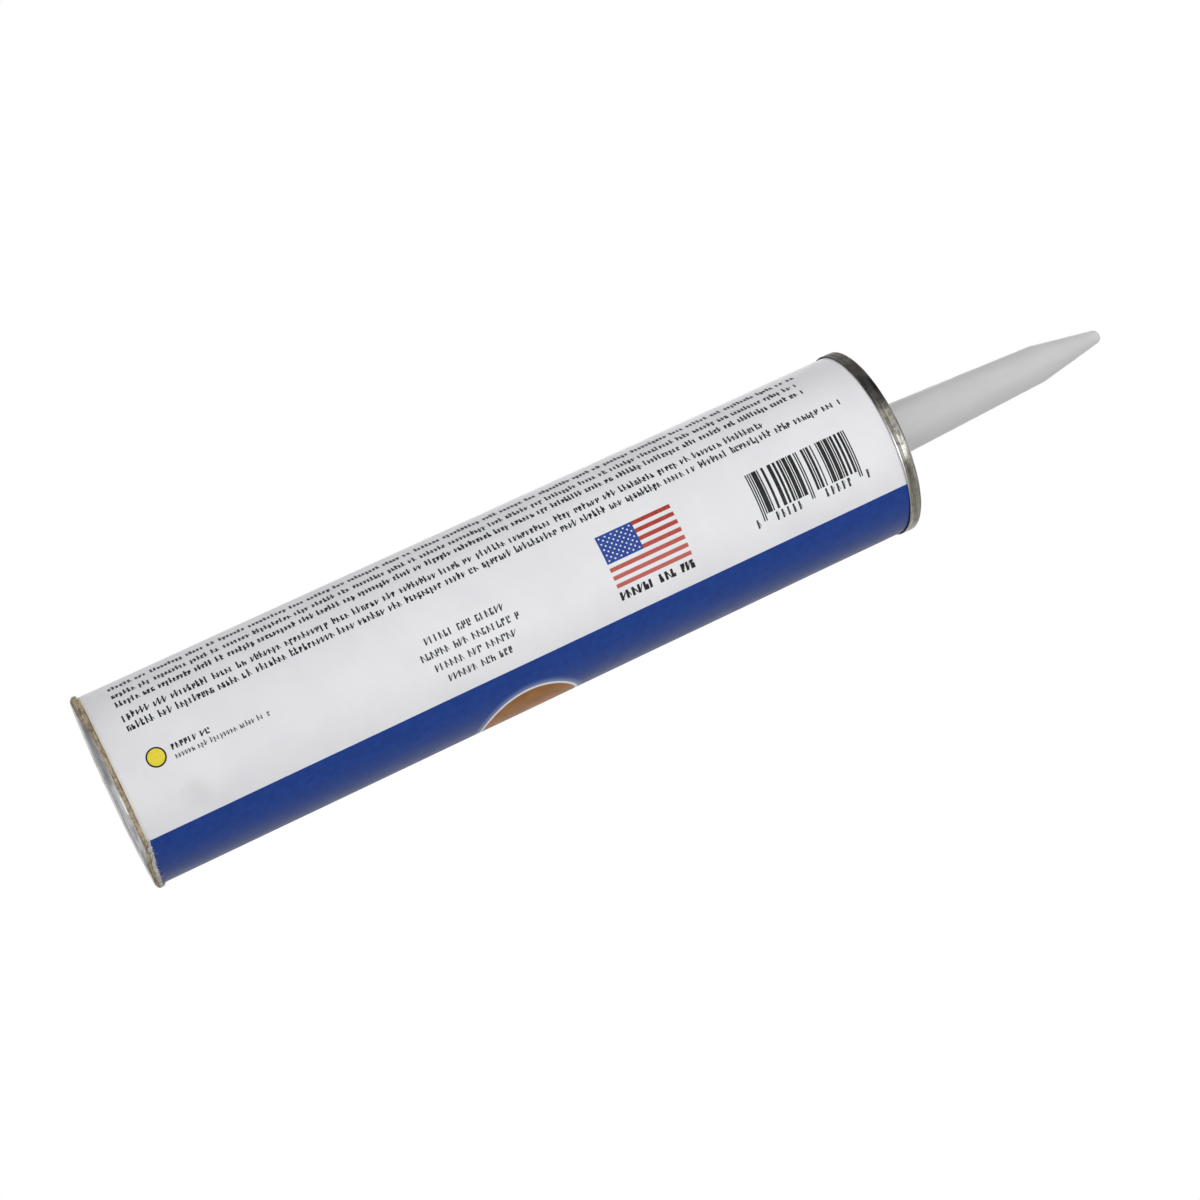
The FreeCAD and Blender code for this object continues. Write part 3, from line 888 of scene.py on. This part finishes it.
def rows_of_print():
    """All the rows, in dark and in grey ink, and the figures under the bars."""
    draw = random.Random(11)
    marks = {DARK: [], GREY: []}
    for box in node_plates("label_text"):
        start, end, top, foot = box
        angle = math.degrees((top + foot) / 2 / LABEL_RADIUS)
        ink, stroke, pitch, tall, growth = kind_of_print(start, angle)
        marks[ink].extend(written(box, stroke, pitch * (foot - top), tall, growth, draw))
    for start, end, top, foot in node_plates("barcode"):
        if foot - top < SHORTEST_BAR:
            box = (start, end, top - FIGURE_GROWTH, foot + FIGURE_GROWTH)
            marks[GREY].extend(written(box, 0.52, end - start, 0.0, 1, draw))
    for name, ink, nodes in (("print_heavy", DARK, ("label_text",)), ("print_light", GREY, ())):
        rows = inked(stamped(name, flat_sheet(1, 1), marks[ink]))
        made_of(settled(rows, name), ink, nodes=nodes)


def film(name, node, ink, stencil, layer=INK, wider=1, longer=1, shortest=0):
    """Thin film of ink over each plate of a printed CAD node, save the shortest ones."""
    places = []
    for start, end, top, foot in node_plates(node):
        if foot - top >= shortest:
            width, length = (foot - top) * wider, (end - start) * longer
            places.append(((top + foot) / 2, (start + end) / 2, width, length, 0))
    piece = inked(stamped(name, stencil, places), layer)
    return made_of(settled(piece, name), ink, nodes=(node,))


def printed_disc(name, height, angle, radius, layer, ink, node):
    disc = stamped(name, flat_round(96), [(around(angle), height, 2 * radius, 2 * radius, 0)])
    return made_of(settled(inked(disc, layer), name), ink, nodes=(node,))


def printed_ring(name, height, angle, inner, width, layer, ink, node):
    """A printed ring, drawn flat as a circle that is widened, and curled round the tube."""
    obj = flat_circle(144, inner * MM)
    widened((inner + width) / inner)
    obj = facing_viewer(obj, name)
    for vertex in obj.data.vertices:
        vertex.co += Vector((around(angle), 0, height)) * MM
    return made_of(settled(inked(obj, layer), name), ink, nodes=(node,))


label_sheet()
blue_band()
rows_of_print()
film("barcode_bars", "barcode", DARK, flat_sheet(14, 1), longer=BAR_GROWTH, shortest=SHORTEST_BAR)
film("stripes_of_flag", "flag_stripes", RED, flat_sheet(3, 9))
film("canton_of_flag", "flag_canton", NAVY, flat_sheet(12, 5))
film("stars_of_flag", "flag_stars", WHITE, flat_round(8), TOP_INK, STAR_GROWTH, STAR_GROWTH)
film("spot", "yellow_spot", YELLOW, flat_round(48))
printed_disc("emblem", EMBLEM_HEIGHT, EMBLEM_ANGLE, EMBLEM_RADIUS,
             TOP_INK, AMBER, "emblem_disc")
printed_ring("emblem_outline", EMBLEM_HEIGHT, EMBLEM_ANGLE, EMBLEM_RADIUS, EMBLEM_EDGE,
             TOP_INK, WHITE, "emblem_ring")
printed_ring("spot_outline", SPOT_HEIGHT, SPOT_ANGLE, SPOT_RADIUS, SPOT_EDGE,
             INK, DARK, "spot_edge")


def board_tube():
    """The board, with the core of the rolled rim."""
    core = 25.57
    board = turned("board_tube", [
        (LINER_RADIUS, 0.20, 0.4),
        (core, 0.20, 1.05),
        (core, 2.46, 0.95),
        (BOARD_RADIUS, 2.50),
        (BOARD_RADIUS, BOARD_END),
        (LINER_RADIUS, BOARD_END),
    ], fineness=8)
    reshaped(board, lambda angle, radius, height: (angle, radius, height + rim_lift(angle, height)))
    return made_of(board, BOARD, nodes=("tube_body",))


def foil_lining():
    """The foil, from the bore out round the rim, where it is wrinkled and its edge wavers."""
    foil = turned("foil_lining", [
        (BORE_RADIUS, BOARD_END),
        *((BORE_RADIUS, height) for height in (60, 20, 8, 4, 2.6, 1.9, 1.3)),
        (BORE_RADIUS, 0.03, 0.45),
        (24.45, 0.03),
        (25.74, 0.03, 1.15),
        (25.74, 1.40),
        (25.60, 1.40),
        (25.60, 0.16, 1.02),
        (LINER_RADIUS, 0.16, 0.35),
        (LINER_RADIUS, BOARD_END),
    ], steps=300, fineness=8)
    # Middle of the bend round the rim, and its size
    centre, level, size = 24.59, 1.18, 1.15

    def crinkled(angle, radius, height):
        pleat = ring_noise(angle, 1.3, height / 4)
        if radius > centre:
            reach = foil_reach(angle)
            reach += 0.07 * ring_noise(angle, 2.2, 9) + 0.04 * ring_noise(angle, 0.7, 4)
            off = math.hypot(radius - centre, min(0, height - level))
            bend = math.atan2(radius - centre, level - height) if height < level else math.pi / 2
            bend = (bend + max(0, height - level) / size) * reach
            over = max(0, bend - math.pi / 2)
            bend = min(bend, math.pi / 2)
            radius = centre + off * math.sin(bend) - 0.03 + 0.03 * pleat
            height = level - off * math.cos(bend) + over * size + 0.02 * (pleat + 1)
        else:
            near = 1 - min(1, max(0, (height - 2) / 6))
            radius += near * (0.04 * pleat + 0.03 * ring_noise(angle, 4.0, height / 3.0 + 5))
        return angle, min(RIM_REACH, radius), max(0.03, height + rim_lift(angle, height))

    return made_of(reshaped(foil, crinkled), FOIL, nodes=("foil_liner",))


def strand(name, phase, size):
    """One of the two twisted strands of the raw board edge."""
    middle = 25.17
    ring = begun(bpy.ops.mesh.primitive_torus_add, major_segments=520, minor_segments=12,
                 major_radius=middle * MM, minor_radius=size * MM)

    def twisted(angle, radius, height):
        path = at(angle, LABEL_RADIUS, 0)
        ends = max(eased(-angle, 36, 66), eased(angle, 40, 62))
        torn = torn_away(angle)
        twist = 4 * math.radians(angle) + phase
        twist += 2.6 * noise.noise(path / 9 + Vector((0, 0, 2)))
        off = Vector((radius - middle, height))
        lump = 1 + 0.22 * noise.noise(path / 1.4 + Vector((0, 0, phase)))
        lump += 0.30 * noise.noise(Vector((path.x, path.y, off.x * 4 + off.y * 4)) / 0.45)
        off *= lump
        radius = middle + 0.15 * math.cos(twist) + off.x - 0.10 * torn
        height = 1.96 - 0.20 * ends - 0.20 * torn + (0.26 + 0.16 * ends) * math.sin(twist) + off.y
        height += 0.16 * noise.noise(path / 3.6 + Vector((0, 0, 1)))
        return angle, min(radius, RIM_REACH), height

    return made_of(smooth(reshaped(settled(ring, name), twisted), 60), BOARD)


def fibres(name, count, look, place, seed):
    """Fine loose fibres, each a tapered three-sided hair, bent at random."""
    draw = random.Random(seed)
    sides, rings = 3, 4
    points = []
    faces = []
    for _ in range(count):
        root, heading, length, thick = place(draw)
        side = heading.orthogonal().normalized()
        curl = Vector((draw.uniform(-1, 1), draw.uniform(-1, 1), draw.uniform(-1, 1)))
        first = len(points)
        for ring in range(rings + 1):
            share = ring / rings
            middle = root + heading * length * share + curl * length * 0.45 * share * share
            reach = math.hypot(middle.x, middle.y)
            if reach > RIM_REACH:
                middle.x *= RIM_REACH / reach
                middle.y *= RIM_REACH / reach
            middle.z = max(middle.z, 0.05)
            wide = thick * (1 - 0.7 * share)
            for corner in range(sides):
                turn = Matrix.Rotation(corner * 2 * math.pi / sides, 3, heading)
                points.append((middle + turn @ side * wide) * MM)
        for ring in range(rings):
            for corner in range(sides):
                here = first + ring * sides + corner
                beside = first + ring * sides + (corner + 1) % sides
                faces.append((here, beside, beside + sides, here + sides))
        faces.append((first + 2, first + 1, first))
        last = first + rings * sides
        faces.append((last, last + 1, last + 2))
    obj = joined_mesh(name, points, faces)
    alone(obj)
    bpy.ops.object.mode_set(mode="EDIT")
    turned_out()
    return made_of(obj, look)


def edge_fibre(draw):
    """Root, heading, length and thickness of a fibre on the raw board edge."""
    angle = draw.uniform(0, 360)
    height = draw.uniform(1.15, 2.55)
    root = at(angle, bead_radius(height) - 0.05, height)
    along = at(angle + 90, 1, 0) * draw.choice((-1, 1))
    heading = (along * draw.uniform(0.5, 1) + at(angle, 1, 0) * draw.uniform(-0.1, 0.25)
               + Vector((0, 0, draw.uniform(-0.6, 0.6)))).normalized()
    return root, heading, draw.uniform(0.4, 1.4), draw.uniform(0.020, 0.038)


def torn_fibre_place(draw):
    """Root, heading, length and thickness of a fibre of the torn strip."""
    angle = draw.uniform(32, 116)
    edge = torn_edge(angle)
    height = draw.uniform(edge - 1.05, edge + 0.05)
    root = at(angle, bead_radius(height) + 0.01, height)
    heading = (at(angle + 90, 1, 0) * draw.uniform(-0.5, 0.5) + at(angle, 1, 0) * 0.1
               + Vector((0, 0, draw.uniform(-0.6, 1.0)))).normalized()
    return root, heading, draw.uniform(0.3, 1.0), draw.uniform(0.025, 0.05)


def torn_strip():
    """The ragged white layer under the blue ink, pulled over the board edge."""

    def place(across, up):
        angle = TORN_FROM + across * TORN_SPAN
        along = around(angle)
        wide = 1.25 * (0.75 + 0.55 * ragged(along, 1.7, 3)) * torn_away(angle) + 0.1
        wide += 0.28 * ragged(along, 0.4, 8)
        height = torn_edge(angle) - max(0.1, wide) * (1 - up)
        rise = bead_radius(height) - LABEL_RADIUS - 0.005
        rise += 0.06 * up * (1 - up) * 4 * noise.noise(Vector((along / 0.4, height / 0.4, 1)))
        return angle, min(0.74, max(0.004, rise)), height

    strip = inked(laid(flat_sheet(340, 14), place), TORN_PAPER)
    return made_of(smooth(settled(strip, "torn_strip")), TORN)


board_tube()
foil_lining()
strand("edge_strand_a", phase=0.0, size=0.41)
strand("edge_strand_b", phase=math.pi, size=0.39)
fibres("edge_fibres", 620, BOARD, edge_fibre, seed=5)
torn_strip()
fibres("torn_fibres", 260, TORN, torn_fibre_place, seed=8)


def front_ring():
    """The stamped end: its crimped ring, countersink, panel and the boss that holds the nozzle."""
    end = turned("front_ring", [
        (25.23, 212.50),
        (25.38, 212.42, 0.06),
        (25.48, 212.56, 0.06),
        (25.48, 212.92, 0.10),
        (25.36, 213.12, 0.16),
        (25.36, 213.52, 0.16),
        (25.47, 213.76, 0.16),
        (25.47, 214.55, 0.5),
        (25.48, LIP, 0.72),
        (BORE_RADIUS - TIN_THICKNESS, LIP, 0.62),
        (BORE_RADIUS - TIN_THICKNESS, PANEL, 0.45),
        (20.4, PANEL, 0.3),
        (19.8, PANEL_UNDERSIDE, 0.3),
        (19.2, PANEL, 0.3),
        (14.0, PANEL, 0.60),
        (10.5, BOSS_FOOT, 0.60),
        (10.5, BOSS, 0.60),
        (7.4, BOSS, 0.10),
        (7.4, BOSS_UNDERSIDE),
        (10.25, BOSS_UNDERSIDE, 0.35),
        (10.25, BOSS_FOOT, 0.60),
        (13.75, PANEL_UNDERSIDE, 0.60),
        (BORE_RADIUS, PANEL_UNDERSIDE, 0.60),
        (BORE_RADIUS, LIP - TIN_THICKNESS, 0.45),
        (25.23, LIP - TIN_THICKNESS, 0.45),
    ], steps=256, fineness=7, longest=3)

    def dented(angle, radius, height):
        if radius < 24.5:
            return angle, radius, height
        return angle, min(RING_REACH, radius + 0.018 * ring_noise(angle, 4.5, height / 2)), height

    return made_of(reshaped(end, dented), TIN, nodes=("front_end",))


def tapered_nozzle():
    """The closed nozzle: a straight taper, a steeper point and a rounded tip, hollow inside."""
    nozzle = turned("tapered_nozzle", [
        (0, 282.95),
        (0.90, 282.95, 0.3),
        (4.05, 265.85, 3.0),
        (6.15, FLANGE),
        (FLANGE_RADIUS, FLANGE, 0.15),
        (FLANGE_RADIUS, BOSS_UNDERSIDE, 0.50),
        (7.25, BOSS_UNDERSIDE, 0.25),
        (5.15, 266.95, 6.0),
        (1.62, 286.52, 1.60),
        (0, 286.52),
    ], steps=144, fineness=10, longest=4)
    return made_of(nozzle, MILKY, nodes=("nozzle",))


def seal_disc():
    seal = turned("seal_disc", [
        (0, SEAL), (FLANGE_RADIUS, SEAL), (FLANGE_RADIUS, FLANGE), (0, FLANGE)], steps=96)
    return made_of(seal, FOIL, nodes=("nozzle_seal",))


def plunger_cup():
    """The plunger: two sealing lips, a waist between, and a cup with a low ring and a gate mark."""
    waist = 23.30
    cup = turned("plunger_cup", [
        (0, 38.25),
        (1.1, 38.25, 0.12),
        (1.3, 38.50, 0.12),
        (9.0, 38.50, 0.12),
        (9.25, 38.35, 0.1),
        (9.85, 38.35, 0.1),
        (10.1, 38.50, 0.12),
        (22.10, 38.50, 1.1),
        (22.15, 24.0, 0.3),
        (PLUNGER_RADIUS, 24.0, 0.35),
        (PLUNGER_RADIUS, 26.5, 0.25),
        (waist, 26.9, 0.2),
        (waist, 36.3, 0.2),
        (PLUNGER_RADIUS, 36.7, 0.25),
        (PLUNGER_RADIUS, 39.2, 0.3),
        (22.90, PLUNGER_FACE, 0.3),
        (0, PLUNGER_FACE),
    ], longest=3)
    return made_of(cup, MOULDED, body="plunger", nodes=("plunger",))


def sealant_fill():
    """The paste between plunger and front end."""
    wall, foot = BORE_RADIUS - PASTE_GAP, PLUNGER_FACE + PASTE_GAP
    fill = turned("sealant_fill", [
        (0, foot), (wall, foot, 0.2), (wall, PASTE_TOP, 0.2), (0, PASTE_TOP),
    ], steps=128, longest=12)
    made_of(fill, PASTE, nodes=("sealant",))
    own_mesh(fill)
    shoulder, top = BOSS_FOOT - PASTE_GAP, SEAL - PASTE_GAP
    neck = turned("sealant_neck", [
        (0, PASTE_TOP), (13.70, PASTE_TOP, 0.3), (FLANGE_RADIUS, shoulder, 0.5),
        (FLANGE_RADIUS, top, 0.1), (0, top),
    ], steps=96, longest=3)
    return made_of(neck, PASTE)


front_ring()
tapered_nozzle()
seal_disc()
plunger_cup()
sealant_fill()


def floor():
    """A pale floor with the object's shadow, white further out, and clear from below."""
    obj = begun(bpy.ops.mesh.primitive_plane_add, size=8, location=(0, 0, -0.02 * MM))
    finish = Finish("floor_finish", Roughness=0.9, Specular_IOR_Level=0.1,
                    Base_Color=(0.90, 0.90, 0.90, 1))
    pale = Socket(finish, finish.shader.outputs[0])
    white = finish.add("Emission", {}, {})
    clear = finish.add("BsdfTransparent", {}, {})
    seen, gloss = finish.rays("Is Camera Ray", "Is Glossy Ray")
    far = finish.ramp(finish.from_axis(), 120, 600)
    above = finish.add("MixShader", {}, {0: far * seen + gloss, 1: pale, 2: white})
    below = finish.add("NewGeometry", {}, {}, "Backfacing")
    both = finish.add("MixShader", {}, {0: below, 1: above, 2: clear})
    surface = finish.tree.nodes["Material Output"].inputs["Surface"]
    finish.tree.links.new(both.socket, surface)
    obj.data.materials.append(finish.material)
    settled(obj, "floor")


def surroundings():
    """White where the camera and the gloss see it, and a plain grey light on the object."""
    world = bpy.data.worlds.new("surroundings")
    bpy.context.scene.world = world
    world.use_nodes = True
    world.node_tree.nodes.clear()
    nodes = Nodes(world.node_tree)
    white = nodes.add("Background", {}, {"Color": (1, 1, 1, 1)})
    grey = nodes.add("Background", {}, {"Color": (0.345, 0.345, 0.35, 1)})
    seen, gloss, through = nodes.rays("Is Camera Ray", "Is Glossy Ray", "Is Transmission Ray")
    total = nodes.maths("MAXIMUM", nodes.maths("MAXIMUM", seen, gloss), through)
    mixed = nodes.add("MixShader", {}, {0: total, 1: grey, 2: white})
    nodes.node("OutputWorld", {}, {0: mixed})


def lamp(name, angle, elevation, distance, size, power):
    """A soft square lamp that faces the middle of the tube, in metres and watts."""
    rise = math.radians(elevation)
    back = at(angle, math.cos(rise), math.sin(rise))
    bpy.ops.object.light_add(type="AREA", location=Vector((0, 0, 0.11)) + back * distance)
    made = bpy.context.active_object
    made.name = name
    made.rotation_euler = back.to_track_quat("Z", "Y").to_euler()
    made.data.shape = "SQUARE"
    made.data.size = size
    made.data.energy = power


def camera():
    """The photograph's view, from a little behind the rear rim, with the tube slanting."""
    place = Vector((0, -0.656914, -0.011493))
    pitch, tilt, roll = math.radians(12.3053), math.radians(0.6475), math.radians(24.963)
    ahead = Vector((0, math.cos(pitch), math.sin(pitch)))
    right = Vector((0, -math.sin(pitch), math.cos(pitch)))
    up = Vector((-1, 0, 0))
    view = math.cos(tilt) * ahead - math.sin(tilt) * up
    top = math.cos(tilt) * up + math.sin(tilt) * ahead
    side = math.cos(roll) * right - math.sin(roll) * top
    over = math.sin(roll) * right + math.cos(roll) * top
    bpy.ops.object.camera_add()
    made = bpy.context.active_object
    made.name = "camera"
    turn = Matrix((side, over, -view)).transposed().to_4x4()
    made.matrix_world = Matrix.Translation(place) @ turn
    made.data.lens = 78.893
    made.data.sensor_width = 36
    made.data.clip_start = 0.01
    bpy.context.scene.camera = made


floor()
surroundings()
lamp("key", angle=20, elevation=12, distance=1.0, size=0.55, power=3.75)
lamp("side", angle=-45, elevation=15, distance=1.4, size=1.6, power=7.3)
lamp("back", angle=-170, elevation=30, distance=1.4, size=1.0, power=4.0)
camera()
bpy.context.scene.view_settings.view_transform = "Standard"
